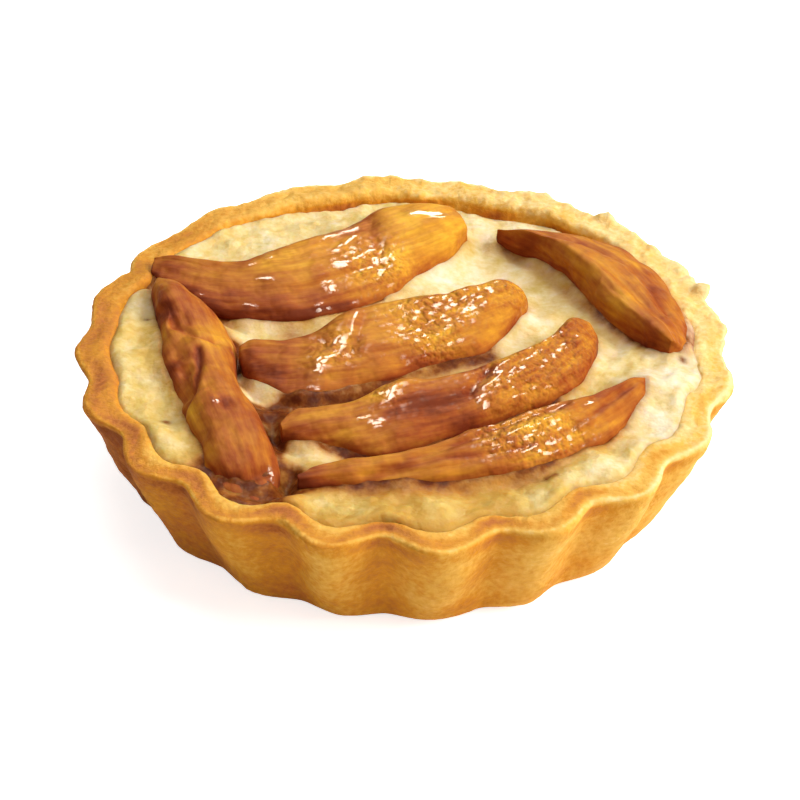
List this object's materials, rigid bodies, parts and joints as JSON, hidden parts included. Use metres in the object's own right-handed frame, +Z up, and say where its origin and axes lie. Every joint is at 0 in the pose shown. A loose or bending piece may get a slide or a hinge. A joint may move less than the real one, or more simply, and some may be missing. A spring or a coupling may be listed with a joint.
{
  "type": "apple tart",
  "caption": "Single-serving apple tart: a fluted shortcrust shell filled to the rim with baked cream, topped with glazed, caramelised apple slices.",
  "frame": {"origin": "centre of the flat foot that the tart stands on", "axes": "+Z up; -Y is the front, the side nearest the camera in the picture; +X is its right"},
  "size_m": [0.0972, 0.0971, 0.0251],
  "materials": {
    "pastry": "baked shortcrust, golden, dry and finely grained",
    "cream": "baked cream, pale, softly satin with fine bubbles",
    "apple": "caramelised apple under a wet, glossy glaze"
  },
  "bodies": {
    "root": {"pastry_shell": "pastry", "cream_filling": "cream", "apple_slice_back": "apple", "apple_slice_middle": "apple", "apple_slice_front_middle": "apple", "apple_slice_front": "apple", "apple_slice_left": "apple", "apple_slice_right": "apple"}
  },
  "joints": []
}
